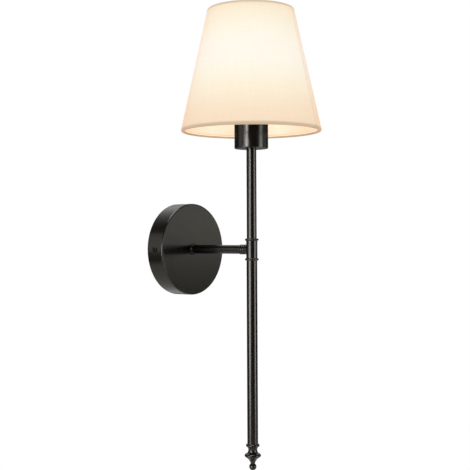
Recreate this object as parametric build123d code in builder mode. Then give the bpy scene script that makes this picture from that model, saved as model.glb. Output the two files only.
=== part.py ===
"""Wall lamp on a turned stem, with a fabric shade and a rechargeable bulb.

The head of the bulb lifts off a magnetic dock, up and out through the open top of the shade.

Frame: the wall is the plane y = 0, the lamp stands out towards -Y, +Z is up, millimetres.
The origin is on the wall, on the axis of the arm.
"""

import os
from math import hypot, sqrt

from build123d import *

# Fits
fit_gap = 0.05  # radial clearance of a thread or a press fit
seat_gap = 0.02  # between curved faces that are glued or clamped together
running_gap = 0.3  # between pieces that move past each other

# Wall plate
plate_diameter = 122.0
plate_depth = 26.0
plate_wall = 1.0
plate_edge_radius = 1.5

# Mounting bracket behind the plate
bracket_thickness = 1.5
bracket_width = 14.0
bracket_bend_radius = 1.0
bracket_slot_spacing = 80.0
bracket_slot_length = 18.0
bracket_slot_width = 4.6
bracket_centre_hole = 9.0
bracket_ear_margin = 5.0  # ear beyond the centre of the side screw

# Side screws, through the rim of the plate into the ears of the bracket
side_screw_diameter = 4.0
side_screw_length = 9.0
side_screw_head_diameter = 6.6
side_screw_head_height = 1.6
side_screw_slot_width = 0.9
side_screw_slot_depth = 0.8
side_screw_slot_angle = 55.0
side_screw_from_wall = 13.0
side_screw_hole_gap = 0.3

# Lamp thread that joins the tubes, the plate and the cup
thread_diameter = 10.0
thread_pitch = 1.0
thread_depth = 0.45
thread_engagement = 12.0
nipple_bore = 6.5
nut_across_flats = 14.0
nut_height = 4.0
nut_stick_out = 1.5  # thread that shows past a lock nut
washer_diameter = 17.0
washer_thickness = 1.0

# Arm
projection = 126.0  # wall to the axis of the stem
arm_wall = 0.75
collar_thickness = 3.2
collar_step = 1.7  # thickness of its wider foot
collar_overhang = 2.0
collar_shoulder_overhang = 0.9

# Beaded ferrule at the front end of the arm
bead_count = 3
bead_width = 3.3
bead_height = 0.7  # crest of a bead above the surface of the arm
bead_groove_depth = 0.15  # groove between beads below the surface of the arm
ferrule_spigot_length = 8.0
stud_diameter = 8.0  # threaded stud between the ferrule and the tee
stud_bore = 4.5

# Tee and the two rings that close it
tee_wall = 2.2
tee_height = 22.2
tee_thread_depth = 6.5
tee_passage = 5.0
ring_thickness = 3.0
ring_overhang = 1.6

# Stem tubes
upper_stem_wall = 1.35
upper_stem_length = 114.7
lower_stem_wall = 1.85
lower_stem_length = 234.0

# Finial, turned in one piece: bead, cove, lip, waist and ball
finial_bead_height = 4.1
finial_bead_overhang = 1.85
finial_cove_diameter = 11.5
finial_cove_height = 7.4
finial_flare_height = 1.4  # from the cove out to the lip
finial_lip_diameter = 21.0
finial_lip_height = 4.0
finial_lip_rounding = 1.2
finial_taper_height = 7.5
finial_waist_diameter = 5.8
finial_waist_height = 1.2
finial_ball_diameter = 9.4

# Socket cup under the shade
cup_diameter = 43.2
cup_height = 42.0
cup_wall = 1.0
cup_edge_radius = 1.0

# Lampholder inside the cup, and the ring nut that clamps the shade
holder_cup_gap = 0.8
holder_stand_out = 10.0  # threaded skirt above the rim of the cup
holder_mouth_chamfer = 0.8
shell_wall = 0.9  # threaded metal sleeve in the holder
ring_nut_height = 6.0
ring_nut_flange = 1.8
ring_nut_overhang = 3.6
ring_nut_grip_overhang = 1.4
ring_nut_notches = 16
ring_nut_notch_diameter = 2.6

# Screw base of the bulb, knuckle thread
base_diameter = 26.0
base_thread_depth = 0.9
base_thread_pitch = 3.63
base_turns = 5
base_wall = 0.5
base_clearance = 0.3  # between the base and the sleeve of the holder
insulator_height = 5.0
tip_diameter = 9.6
tip_height = 1.3
tip_clearance = 0.6

# Magnetic dock on top of the screw base
dock_neck_length = 9.0
dock_holder_gap = 1.0
dock_flare_height = 6.0
dock_rim_height = 2.5
dock_diameter = 42.0
dock_spigot_length = 12.0
magnet_outer_diameter = 28.0
magnet_inner_diameter = 16.0
magnet_height = 3.0

# Head of the bulb, which lifts off the dock
head_gap = 0.2
head_height = 30.0
head_wall = 1.6
head_floor = 2.2
head_edge_radius = 0.8
keeper_height = 1.2
globe_diameter = 60.0
globe_wall = 1.5
globe_centre_above_head = 15.0
led_board_thickness = 1.6
led_board_ledge = 1.6
led_count = 12
led_length = 3.5
led_width = 2.8
led_height = 0.7
led_circle_diameter = 34.0
receiver_diameter = 5.0
receiver_height = 2.0
boss_count = 4
boss_diameter = 4.0
boss_height = 4.8
boss_circle_diameter = 31.0
board_thickness = 1.2
board_edge_gap = 1.2
cell_diameter = 18.0
cell_length = 34.0
cell_edge_radius = 0.8
tab_thickness = 0.3
tab_width = 5.0
port_width = 9.0
port_height = 3.2
port_wall = 0.3
port_tongue_width = 6.6
port_tongue_thickness = 0.7

# Power button on the side of the head
button_diameter = 5.0
button_travel = 0.8
button_stand_out = 1.4
button_flange_width = 1.0
button_flange_thickness = 0.8
switch_width = 6.0
switch_depth = 3.6
switch_height = 3.6

# Shade
shade_bottom_diameter = 180.0
shade_top_diameter = 110.3
shade_height = 156.4
cup_shown_below_shade = 22.3
fabric_thickness = 0.5
liner_thickness = 0.4
shade_wire_diameter = 2.2
hem_gap = 0.6  # between a wire hoop and the fabric rolled around it
fitter_thickness = 1.6
fitter_overhang = 4.9
spoke_count = 3
spoke_diameter = 2.6
spoke_bend_radius = 8.0


# Levels along the arm, measured out from the wall
thread_radius = thread_diameter / 2
thread_crest = thread_radius - fit_gap
plate_radius = plate_diameter / 2
plate_inner_radius = plate_radius - plate_wall
plate_face = plate_depth
plate_inside = plate_depth - plate_wall
arm_radius = thread_radius + arm_wall
arm_start = plate_face + collar_thickness
tee_radius = thread_radius + tee_wall
ferrule_length = bead_count * bead_width
ferrule_neck = 2.0  # plain stretch between the beads and the tee
arm_end = projection - tee_radius - ferrule_neck - ferrule_length
stud_radius = stud_diameter / 2

# Levels along the stem
tee_top = tee_height / 2
upper_stem_bottom = tee_top + ring_thickness
upper_stem_radius = thread_radius + upper_stem_wall
cup_bottom = upper_stem_bottom + upper_stem_length
lower_stem_top = -tee_top - ring_thickness
lower_stem_radius = thread_radius + lower_stem_wall
lower_stem_bottom = lower_stem_top - lower_stem_length
cup_radius = cup_diameter / 2
cup_rim = cup_bottom + cup_height

# Lampholder and shade clamp
holder_radius = cup_radius - cup_wall - holder_cup_gap
holder_bottom = cup_bottom + cup_wall + washer_thickness + nut_height
holder_top = cup_rim + holder_stand_out
fitter_bottom = cup_rim + running_gap
fitter_top = fitter_bottom + fitter_thickness
fitter_radius = cup_radius + fitter_overhang
ring_nut_bottom = fitter_top + running_gap

# Bulb
base_mean_radius = (base_diameter - base_thread_depth) / 2
base_bore_radius = base_diameter / 2 - base_thread_depth - base_wall
dock_flare_bottom = holder_top + dock_holder_gap
base_top = dock_flare_bottom - dock_neck_length
base_bottom = base_top - base_turns * base_thread_pitch
insulator_bottom = base_bottom - insulator_height
tip_bottom = insulator_bottom - tip_height
holder_floor = tip_bottom - tip_clearance
sleeve_mean_radius = base_mean_radius + base_clearance
sleeve_outer_radius = base_diameter / 2 + base_clearance + shell_wall
cavity_radius = sleeve_outer_radius + fit_gap
dock_neck_radius = base_diameter / 2 + base_clearance
dock_radius = dock_diameter / 2
dock_top = dock_flare_bottom + dock_flare_height + dock_rim_height
head_bottom = dock_top + head_gap
head_top = head_bottom + head_height
globe_radius = globe_diameter / 2
globe_centre = head_top + globe_centre_above_head
head_top_radius = sqrt(globe_radius**2 - globe_centre_above_head**2)
globe_inner_radius = globe_radius - globe_wall
globe_mouth_radius = sqrt(globe_inner_radius**2 - globe_centre_above_head**2)
led_board_radius = globe_mouth_radius - running_gap
led_board_bottom = head_top - led_board_thickness
head_flare = (head_top_radius - dock_radius) / head_height
board_bottom = head_bottom + head_floor + boss_height
board_top = board_bottom + board_thickness
board_radius = dock_radius - head_wall - board_edge_gap
cell_radius = cell_diameter / 2
cell_axis = board_top + cell_radius + fit_gap
switch_face = board_radius - fit_gap
button_axis = board_top + switch_height / 2
button_radius = button_diameter / 2


def head_radius_at(level):
    """Outer radius of the cone-shaped housing of the head at a level."""
    return dock_radius + head_flare * (level - head_bottom)


# Shade, described along its slanted wall
shade_bottom = cup_bottom + cup_shown_below_shade
shade_top = shade_bottom + shade_height
shade_bottom_radius = shade_bottom_diameter / 2
shade_top_radius = shade_top_diameter / 2
shade_taper = shade_bottom_radius - shade_top_radius
shade_slant = hypot(shade_taper, shade_height)
shade_wire_radius = shade_wire_diameter / 2
hem_radius = fabric_thickness + hem_gap + shade_wire_radius
spoke_radius = spoke_diameter / 2


def on_wall(along, inward):
    """Radius and level of a point up along the slanted wall and inward from its outer face."""
    lean = shade_taper / shade_slant
    rise = shade_height / shade_slant
    return shade_bottom_radius - along * lean - inward * rise, shade_bottom + along * rise - inward * lean


# Planes and axes
stem_foot = (0, -projection, 0)
stem_axis = Axis(stem_foot, (0, 0, 1))
stem_level = Plane(origin=stem_foot)  # across the stem
stem_side = Plane(origin=stem_foot, x_dir=(1, 0, 0), z_dir=(0, -1, 0))  # x is a radius, y a level
arm_side = Plane(origin=(0, 0, 0), x_dir=(0, -1, 0), z_dir=(-1, 0, 0))  # x leads outwards, y is a radius
button_face = Plane(origin=(0, -projection, button_axis), x_dir=(1, 0, 0), z_dir=(0, -1, 0))


def tube(plane, start, end, outer_radius, bore_radius):
    """Plain tube that stands on a plane, from one offset to another."""
    with BuildPart() as made:
        with BuildSketch(plane.offset(start)):
            Circle(outer_radius)
            Circle(bore_radius, mode=Mode.SUBTRACT)
        extrude(amount=end - start)
    return made.part


def hex_nut(plane, start):
    """Lock nut on the lamp thread, its foot at an offset from a plane."""
    with BuildPart() as made:
        with BuildSketch(plane.offset(start)):
            RegularPolygon(nut_across_flats / 2, 6, major_radius=False)
            Circle(thread_radius, mode=Mode.SUBTRACT)
        extrude(amount=nut_height)
    return made.part


def threaded_nipple(side_plane, axis, start, end, crest_radius, bore_radius):
    """Hollow threaded tube, drawn with the rings of its thread side by side, around an axis."""
    ridges = int((end - start) / thread_pitch)
    pitch = (end - start) / ridges
    with BuildPart() as made:
        with BuildSketch(side_plane):
            with BuildLine():
                outline = [(start, bore_radius), (start, crest_radius - thread_depth)]
                for ridge in range(ridges):
                    outline.append((start + (ridge + 0.5) * pitch, crest_radius))
                    outline.append((start + (ridge + 1) * pitch, crest_radius - thread_depth))
                outline.append((end, bore_radius))
                if side_plane is stem_side:
                    outline = [(radius, level) for level, radius in outline]
                Polyline(*outline, close=True)
            make_face()
        revolve(axis=axis)
    return made.part


def knuckle_wave(mean_radius, bottom):
    """Line of the knuckle thread of the bulb: one convex and one concave arc for each turn."""
    depth = base_thread_depth / 2
    quarter = base_thread_pitch / 4
    for turn in range(base_turns):
        level = bottom + turn * base_thread_pitch
        crest = (mean_radius + depth, level + quarter)
        middle = (mean_radius, level + 2 * quarter)
        root = (mean_radius - depth, level + 3 * quarter)
        ThreePointArc((mean_radius, level), crest, middle)
        ThreePointArc(middle, root, (mean_radius, level + 4 * quarter))


os.makedirs("parts", exist_ok=True)


def write(part, name):
    """Labels a finished piece and writes it."""
    part.label = name
    export_step(part, f"parts/{name}.step")


# Wall side

ear_outside = sqrt(plate_inner_radius**2 - (bracket_width / 2) ** 2) - running_gap
ear_inside = ear_outside - bracket_thickness
ear_depth = side_screw_from_wall + bracket_ear_margin
side_screw_radius = side_screw_diameter / 2

with BuildPart() as mounting_bracket:
    with BuildSketch(Plane.XY) as bracket_profile:
        with BuildLine():
            Polyline(
                (-ear_outside, -ear_depth),
                (-ear_outside, 0),
                (ear_outside, 0),
                (ear_outside, -ear_depth),
                (ear_inside, -ear_depth),
                (ear_inside, -bracket_thickness),
                (-ear_inside, -bracket_thickness),
                (-ear_inside, -ear_depth),
                close=True,
            )
        make_face()
        fillet(bracket_profile.vertices().group_by(Axis.Y)[-2], bracket_bend_radius)
        fillet(bracket_profile.vertices().group_by(Axis.Y)[-1], bracket_bend_radius + bracket_thickness)
    extrude(amount=bracket_width / 2, both=True)
    with BuildSketch(Plane.XZ):
        with GridLocations(bracket_slot_spacing, 0, 2, 1):
            SlotOverall(bracket_slot_length, bracket_slot_width)
        Circle(bracket_centre_hole / 2)
    extrude(amount=bracket_thickness, mode=Mode.SUBTRACT)
    with BuildSketch(Plane.YZ):
        with Locations((-side_screw_from_wall, 0)):
            Circle(side_screw_radius + fit_gap)
    extrude(amount=plate_radius, both=True, mode=Mode.SUBTRACT)
write(mounting_bracket.part, "mounting_bracket")

with BuildPart() as wall_plate:
    with BuildSketch(arm_side) as plate_profile:
        with BuildLine():
            Polyline(
                (0, plate_inner_radius),
                (0, plate_radius),
                (plate_face, plate_radius),
                (plate_face, thread_radius + fit_gap),
                (plate_inside, thread_radius + fit_gap),
                (plate_inside, plate_inner_radius),
                close=True,
            )
        make_face()
        fillet(plate_profile.vertices().group_by(Axis.Y)[-1].sort_by(Axis.X)[-1], plate_edge_radius)
    revolve(axis=Axis.Y)
    with BuildSketch(Plane.YZ):
        with Locations((-side_screw_from_wall, 0)):
            Circle(side_screw_radius + side_screw_hole_gap)
    extrude(amount=plate_diameter, both=True, mode=Mode.SUBTRACT)
write(wall_plate.part, "wall_plate")

with BuildPart() as side_screws:
    with BuildSketch(Plane.YZ.offset(plate_radius)):
        with Locations((-side_screw_from_wall, 0)):
            Circle(side_screw_head_diameter / 2)
    extrude(amount=side_screw_head_height)
    head_rim = side_screws.edges().filter_by(GeomType.CIRCLE).sort_by(Axis.X)[-1]
    fillet(head_rim, side_screw_head_height / 2)
    with BuildSketch(Plane.YZ.offset(plate_radius)):
        with Locations((-side_screw_from_wall, 0)):
            Circle(side_screw_radius)
    extrude(amount=-side_screw_length)
    with BuildSketch(Plane.YZ.offset(plate_radius + side_screw_head_height)):
        with Locations((-side_screw_from_wall, 0)):
            Rectangle(side_screw_head_diameter, side_screw_slot_width, rotation=side_screw_slot_angle)
    extrude(amount=-side_screw_slot_depth, mode=Mode.SUBTRACT)
    mirror(about=Plane.YZ)
write(side_screws.part, "side_screws")

plate_washer = tube(
    Plane.XZ, plate_inside - washer_thickness, plate_inside, washer_diameter / 2, thread_radius + fit_gap
)
write(plate_washer, "plate_lock_washer")

plate_nut_start = plate_inside - washer_thickness - nut_height
write(hex_nut(Plane.XZ, plate_nut_start), "plate_lock_nut")

plate_nipple = threaded_nipple(
    arm_side,
    Axis.Y,
    plate_nut_start - nut_stick_out,
    arm_start + thread_engagement,
    thread_crest,
    nipple_bore / 2,
)
write(plate_nipple, "plate_nipple")

# Arm

with BuildPart() as arm_collar:
    with BuildSketch(arm_side) as collar_profile:
        with BuildLine():
            Polyline(
                (plate_face, thread_radius + fit_gap),
                (plate_face, arm_radius + collar_overhang),
                (plate_face + collar_step, arm_radius + collar_overhang),
                (plate_face + collar_step, arm_radius + collar_shoulder_overhang),
                (arm_start, arm_radius + collar_shoulder_overhang),
                (arm_start, thread_radius + fit_gap),
                close=True,
            )
        make_face()
        foot_rim = collar_profile.vertices().group_by(Axis.Y)[-1].sort_by(Axis.X)[-1]
        shoulder_rim = collar_profile.vertices().group_by(Axis.X)[-1].sort_by(Axis.Y)[-1]
        fillet([foot_rim, shoulder_rim], collar_shoulder_overhang / 2)
    revolve(axis=Axis.Y)
write(arm_collar.part, "arm_collar")

write(tube(Plane.XZ, arm_start, arm_end, arm_radius, thread_radius), "arm_tube")

with BuildPart() as arm_ferrule:
    groove_radius = arm_radius - bead_groove_depth
    with BuildSketch(arm_side):
        with BuildLine():
            Polyline(
                (arm_end, groove_radius),
                (arm_end, thread_crest),
                (arm_end - ferrule_spigot_length, thread_crest),
                (arm_end - ferrule_spigot_length, stud_radius),
                (projection, stud_radius),
                (projection, groove_radius),
                (arm_end + ferrule_length, groove_radius),
            )
            for bead in range(bead_count):
                bead_start = arm_end + bead * bead_width
                ThreePointArc(
                    (bead_start, groove_radius),
                    (bead_start + bead_width / 2, arm_radius + bead_height),
                    (bead_start + bead_width, groove_radius),
                )
        make_face()
    revolve(axis=Axis.Y)
    with BuildSketch(stem_level.offset(-tee_top)):
        Circle(tee_radius + seat_gap)
    extrude(amount=tee_height, mode=Mode.SUBTRACT)
write(arm_ferrule.part, "arm_ferrule")

# The stud reaches into the side of the tee, clear of its passage
arm_stud = threaded_nipple(
    arm_side,
    Axis.Y,
    arm_end - ferrule_spigot_length / 2,
    projection - tee_passage / 2 - running_gap,
    stud_radius - fit_gap,
    stud_bore / 2,
)
write(arm_stud, "arm_stud")

# Tee and stem

with BuildPart() as tee:
    with BuildSketch(stem_level.offset(-tee_top)):
        Circle(tee_radius)
        Circle(tee_passage / 2, mode=Mode.SUBTRACT)
    extrude(amount=tee_height)
    for mouth in (-tee_top, tee_top - tee_thread_depth):
        with BuildSketch(stem_level.offset(mouth)):
            Circle(thread_radius)
        extrude(amount=tee_thread_depth, mode=Mode.SUBTRACT)
    with BuildSketch(Plane.XZ.offset(projection)):
        Circle(stud_radius)
    extrude(amount=-tee_radius, mode=Mode.SUBTRACT)
write(tee.part, "tee")


def closing_ring(bottom):
    """Ring with a full round edge that closes one end of the tee."""
    straight = tee_radius + ring_overhang - ring_thickness / 2
    with BuildPart() as made:
        with BuildSketch(stem_side):
            with BuildLine():
                Polyline(
                    (straight, bottom + ring_thickness),
                    (thread_radius + fit_gap, bottom + ring_thickness),
                    (thread_radius + fit_gap, bottom),
                    (straight, bottom),
                )
                ThreePointArc(
                    (straight, bottom),
                    (tee_radius + ring_overhang, bottom + ring_thickness / 2),
                    (straight, bottom + ring_thickness),
                )
            make_face()
        revolve(axis=stem_axis)
    return made.part


write(closing_ring(tee_top), "tee_upper_ring")
write(closing_ring(lower_stem_top), "tee_lower_ring")
write(tube(stem_level, upper_stem_bottom, cup_bottom, upper_stem_radius, thread_radius), "upper_stem")
write(tube(stem_level, lower_stem_bottom, lower_stem_top, lower_stem_radius, thread_radius), "lower_stem")

upper_joint = threaded_nipple(
    stem_side,
    stem_axis,
    tee_top - tee_thread_depth + running_gap,
    upper_stem_bottom + thread_engagement,
    thread_crest,
    nipple_bore / 2,
)
write(upper_joint, "upper_stem_nipple")

lower_joint = threaded_nipple(
    stem_side,
    stem_axis,
    lower_stem_top - thread_engagement,
    -tee_top + tee_thread_depth - running_gap,
    thread_crest,
    nipple_bore / 2,
)
write(lower_joint, "lower_stem_nipple")

# Finial

finial_bead_bottom = lower_stem_bottom - finial_bead_height
finial_cove_bottom = finial_bead_bottom - finial_cove_height
finial_lip_top = finial_cove_bottom - finial_flare_height
finial_lip_bottom = finial_lip_top - finial_lip_height
finial_lip_radius = finial_lip_diameter / 2
finial_lip_edge = finial_lip_radius - finial_lip_rounding
finial_waist_radius = finial_waist_diameter / 2
finial_waist_top = finial_lip_bottom - finial_taper_height
finial_ball_top = finial_waist_top - finial_waist_height
finial_ball_radius = finial_ball_diameter / 2
finial_ball_centre = finial_ball_top - sqrt(finial_ball_radius**2 - finial_waist_radius**2)
finial_ball_bottom = finial_ball_centre - finial_ball_radius
finial_stud_top = lower_stem_bottom + thread_engagement
# The taper is hollow: half way down it is already two thirds of the way in
finial_taper_middle = (
    (finial_lip_edge + 2 * finial_waist_radius) / 3,
    (finial_lip_bottom + finial_waist_top) / 2,
)

with BuildPart() as finial:
    with BuildSketch(stem_side):
        with BuildLine():
            Polyline(
                (0, finial_ball_bottom),
                (0, finial_stud_top),
                (thread_crest - thread_depth, finial_stud_top),
                (thread_crest, finial_stud_top - thread_pitch),
                (thread_crest, lower_stem_bottom),
                (lower_stem_radius, lower_stem_bottom),
            )
            ThreePointArc(
                (lower_stem_radius, lower_stem_bottom),
                (lower_stem_radius + finial_bead_overhang, lower_stem_bottom - finial_bead_height / 2),
                (lower_stem_radius, finial_bead_bottom),
            )
            ThreePointArc(
                (lower_stem_radius, finial_bead_bottom),
                (finial_cove_diameter / 2, finial_bead_bottom - finial_cove_height / 2),
                (lower_stem_radius, finial_cove_bottom),
            )
            Line((lower_stem_radius, finial_cove_bottom), (finial_lip_edge, finial_lip_top))
            ThreePointArc(
                (finial_lip_edge, finial_lip_top),
                (finial_lip_radius, (finial_lip_top + finial_lip_bottom) / 2),
                (finial_lip_edge, finial_lip_bottom),
            )
            ThreePointArc(
                (finial_lip_edge, finial_lip_bottom),
                finial_taper_middle,
                (finial_waist_radius, finial_waist_top),
            )
            Line((finial_waist_radius, finial_waist_top), (finial_waist_radius, finial_ball_top))
            ThreePointArc(
                (finial_waist_radius, finial_ball_top),
                (finial_ball_radius, finial_ball_centre),
                (0, finial_ball_bottom),
            )
        make_face()
    revolve(axis=stem_axis)
write(finial.part, "finial")

# Cup and lampholder

with BuildPart() as socket_cup:
    with BuildSketch(stem_side) as cup_profile:
        with BuildLine():
            Polyline(
                (thread_radius + fit_gap, cup_bottom),
                (cup_radius, cup_bottom),
                (cup_radius, cup_rim),
                (cup_radius - cup_wall, cup_rim),
                (cup_radius - cup_wall, cup_bottom + cup_wall),
                (thread_radius + fit_gap, cup_bottom + cup_wall),
                close=True,
            )
        make_face()
        fillet(cup_profile.vertices().group_by(Axis.X)[-1].sort_by(Axis.Y)[0], cup_edge_radius)
    revolve(axis=stem_axis)
write(socket_cup.part, "socket_cup")

cup_floor = cup_bottom + cup_wall
cup_washer_top = cup_floor + washer_thickness
cup_washer = tube(stem_level, cup_floor, cup_washer_top, washer_diameter / 2, thread_radius + fit_gap)
write(cup_washer, "cup_lock_washer")
write(hex_nut(stem_level, cup_washer_top), "cup_lock_nut")

cup_nipple = threaded_nipple(
    stem_side,
    stem_axis,
    cup_bottom - thread_engagement,
    holder_floor - tip_clearance,
    thread_crest,
    nipple_bore / 2,
)
write(cup_nipple, "cup_nipple")

with BuildPart() as lampholder_body:
    with BuildSketch(stem_side) as holder_profile:
        with BuildLine():
            Polyline(
                (thread_radius, holder_bottom),
                (holder_radius, holder_bottom),
                (holder_radius, holder_top),
                (cavity_radius, holder_top),
                (cavity_radius, holder_floor),
                (thread_radius, holder_floor),
                close=True,
            )
        make_face()
        chamfer(holder_profile.vertices().group_by(Axis.Y)[-1], holder_mouth_chamfer)
    revolve(axis=stem_axis)
write(lampholder_body.part, "lampholder_body")

sleeve_top = base_bottom + base_turns * base_thread_pitch
with BuildPart() as lampholder_sleeve:
    with BuildSketch(stem_side):
        with BuildLine():
            knuckle_wave(sleeve_mean_radius, base_bottom)
            Polyline(
                (sleeve_mean_radius, sleeve_top),
                (sleeve_outer_radius, sleeve_top),
                (sleeve_outer_radius, holder_floor),
                (sleeve_mean_radius, holder_floor),
                (sleeve_mean_radius, base_bottom),
            )
        make_face()
    revolve(axis=stem_axis)
write(lampholder_sleeve.part, "lampholder_sleeve")

with BuildPart() as shade_ring_nut:
    nut_bore = holder_radius + fit_gap
    grip_radius = cup_radius + ring_nut_grip_overhang
    with BuildSketch(stem_level.offset(ring_nut_bottom)):
        Circle(cup_radius + ring_nut_overhang)
        Circle(nut_bore, mode=Mode.SUBTRACT)
    extrude(amount=ring_nut_flange)
    with BuildSketch(stem_level.offset(ring_nut_bottom + ring_nut_flange)):
        Circle(grip_radius)
        Circle(nut_bore, mode=Mode.SUBTRACT)
        with PolarLocations(grip_radius, ring_nut_notches):
            Circle(ring_nut_notch_diameter / 2, mode=Mode.SUBTRACT)
    extrude(amount=ring_nut_height - ring_nut_flange)
write(shade_ring_nut.part, "shade_ring_nut")

# Screw base and dock of the bulb

with BuildPart() as bulb_screw_shell:
    with BuildSketch(stem_side):
        with BuildLine():
            knuckle_wave(base_mean_radius, base_bottom)
            Polyline(
                (base_mean_radius, base_top),
                (base_bore_radius, base_top),
                (base_bore_radius, base_bottom),
                (base_mean_radius, base_bottom),
            )
        make_face()
    revolve(axis=stem_axis)
write(bulb_screw_shell.part, "bulb_screw_shell")

with BuildPart() as bulb_insulator:
    with BuildSketch(stem_side):
        with BuildLine():
            Polyline(
                (0, insulator_bottom),
                (tip_diameter / 2, insulator_bottom),
                (base_bore_radius, base_bottom),
                (base_bore_radius - fit_gap, base_bottom),
                (base_bore_radius - fit_gap, base_bottom + base_wall),
                (0, base_bottom + base_wall),
                close=True,
            )
        make_face()
    revolve(axis=stem_axis)
write(bulb_insulator.part, "bulb_insulator")

with BuildPart() as bulb_tip:
    tip_edge = tip_height / 3
    with BuildSketch(stem_side):
        with BuildLine():
            Polyline(
                (0, tip_bottom),
                (0, insulator_bottom),
                (tip_diameter / 2, insulator_bottom),
                (tip_diameter / 2, insulator_bottom - tip_edge),
            )
            RadiusArc(
                (tip_diameter / 2, insulator_bottom - tip_edge),
                (0, tip_bottom),
                ((tip_diameter / 2) ** 2 + (tip_height - tip_edge) ** 2) / (2 * (tip_height - tip_edge)),
            )
        make_face()
    revolve(axis=stem_axis)
write(bulb_tip.part, "bulb_tip")

with BuildPart() as bulb_dock:
    spigot_radius = base_bore_radius - fit_gap
    with BuildSketch(stem_side):
        with BuildLine():
            Polyline(
                (0, base_top - dock_spigot_length),
                (spigot_radius, base_top - dock_spigot_length),
                (spigot_radius, base_top),
                (dock_neck_radius, base_top),
                (dock_neck_radius, dock_flare_bottom),
                (dock_radius, dock_flare_bottom + dock_flare_height),
                (dock_radius, dock_top),
                (magnet_outer_diameter / 2 + fit_gap, dock_top),
                (magnet_outer_diameter / 2 + fit_gap, dock_top - magnet_height),
                (magnet_inner_diameter / 2 - fit_gap, dock_top - magnet_height),
                (magnet_inner_diameter / 2 - fit_gap, dock_top),
                (0, dock_top),
                close=True,
            )
        make_face()
    revolve(axis=stem_axis)
write(bulb_dock.part, "bulb_dock")

dock_magnet = tube(
    stem_level, dock_top - magnet_height, dock_top, magnet_outer_diameter / 2, magnet_inner_diameter / 2
)
write(dock_magnet, "dock_magnet")

# Head of the bulb

with BuildPart() as head_housing:
    ledge_bottom = led_board_bottom - led_board_ledge
    inner_bottom = head_radius_at(head_bottom + head_floor) - head_wall
    inner_top = head_radius_at(ledge_bottom) - head_wall
    board_seat = led_board_radius + fit_gap
    with BuildSketch(stem_side) as housing_profile:
        with BuildLine():
            Polyline(
                (0, head_bottom),
                (magnet_inner_diameter / 2 - fit_gap, head_bottom),
                (magnet_inner_diameter / 2 - fit_gap, head_bottom + keeper_height),
                (magnet_outer_diameter / 2 + fit_gap, head_bottom + keeper_height),
                (magnet_outer_diameter / 2 + fit_gap, head_bottom),
                (dock_radius, head_bottom),
                (head_top_radius, head_top),
                (board_seat, head_top),
                (board_seat, led_board_bottom),
                (led_board_radius - led_board_ledge, led_board_bottom),
                (led_board_radius - led_board_ledge, ledge_bottom),
                (inner_top, ledge_bottom),
                (inner_bottom, head_bottom + head_floor),
                (0, head_bottom + head_floor),
                close=True,
            )
        make_face()
        rim_corner = housing_profile.vertices().group_by(Axis.Y)[0].sort_by(Axis.X)[-1]
        fillet(rim_corner, head_edge_radius)
    revolve(axis=stem_axis)
    with BuildSketch(stem_level.offset(head_bottom + head_floor)):
        with PolarLocations(boss_circle_diameter / 2, boss_count):
            Circle(boss_diameter / 2)
    extrude(amount=boss_height)
    with BuildSketch(stem_level.offset(head_bottom)):
        RectangleRounded(port_width + 2 * fit_gap, port_height + 2 * fit_gap, port_height / 2)
    extrude(amount=head_floor, mode=Mode.SUBTRACT)
    with BuildSketch(button_face):
        Circle(button_radius + running_gap)
    extrude(amount=globe_radius, mode=Mode.SUBTRACT)
write(head_housing.part, "head_housing")

head_keeper = tube(
    stem_level, head_bottom, head_bottom + keeper_height, magnet_outer_diameter / 2, magnet_inner_diameter / 2
)
write(head_keeper, "head_keeper_ring")

with BuildPart() as control_board:
    with BuildSketch(stem_level.offset(board_bottom)):
        Circle(board_radius)
    extrude(amount=board_thickness)
write(control_board.part, "control_board")

with BuildPart() as charge_port:
    port_radius = port_height / 2 - fit_gap
    with BuildSketch(stem_level.offset(head_bottom)):
        RectangleRounded(port_width, port_height, port_radius)
    extrude(amount=board_bottom - head_bottom)
    with BuildSketch(stem_level.offset(head_bottom)):
        RectangleRounded(port_width - 2 * port_wall, port_height - 2 * port_wall, port_radius - port_wall)
        Rectangle(port_tongue_width, port_tongue_thickness, mode=Mode.SUBTRACT)
    extrude(amount=board_bottom - head_bottom - 2 * port_wall, mode=Mode.SUBTRACT)
write(charge_port.part, "charge_port")

with BuildPart() as battery_cell:
    with BuildSketch(Plane(origin=(-cell_length / 2, -projection, cell_axis), z_dir=(1, 0, 0))):
        Circle(cell_radius)
    extrude(amount=cell_length)
    fillet(battery_cell.edges().filter_by(GeomType.CIRCLE), cell_edge_radius)
write(battery_cell.part, "battery_cell")

with BuildPart() as battery_tabs:
    with BuildSketch(stem_level.offset(board_top)):
        with GridLocations(cell_length + tab_thickness, 0, 2, 1):
            Rectangle(tab_thickness, tab_width)
    extrude(amount=cell_axis + tab_width / 2 - board_top)
write(battery_tabs.part, "battery_tabs")

with BuildPart() as button_switch:
    switch_centre = (0, -switch_face + switch_depth / 2)
    with BuildSketch(stem_level.offset(board_top)):
        with Locations(switch_centre):
            Rectangle(switch_width, switch_depth)
    extrude(amount=switch_height)
write(button_switch.part, "button_switch")

with BuildPart() as power_button:
    flange_back = switch_face + button_travel + running_gap
    button_front = head_radius_at(button_axis) + button_stand_out
    with BuildSketch(button_face.offset(flange_back)):
        Circle(button_radius)
    extrude(amount=button_front - flange_back)
    button_rim = power_button.edges().filter_by(GeomType.CIRCLE).sort_by(Axis.Y)[0]
    fillet(button_rim, button_stand_out / 3)
    with BuildSketch(button_face.offset(flange_back)):
        Rectangle(button_diameter + 2 * button_flange_width, button_radius)
    extrude(amount=button_flange_thickness)
write(power_button.part, "power_button")

with BuildPart() as led_board:
    with BuildSketch(stem_level.offset(led_board_bottom)):
        Circle(led_board_radius)
    extrude(amount=led_board_thickness)
write(led_board.part, "led_board")

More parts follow.
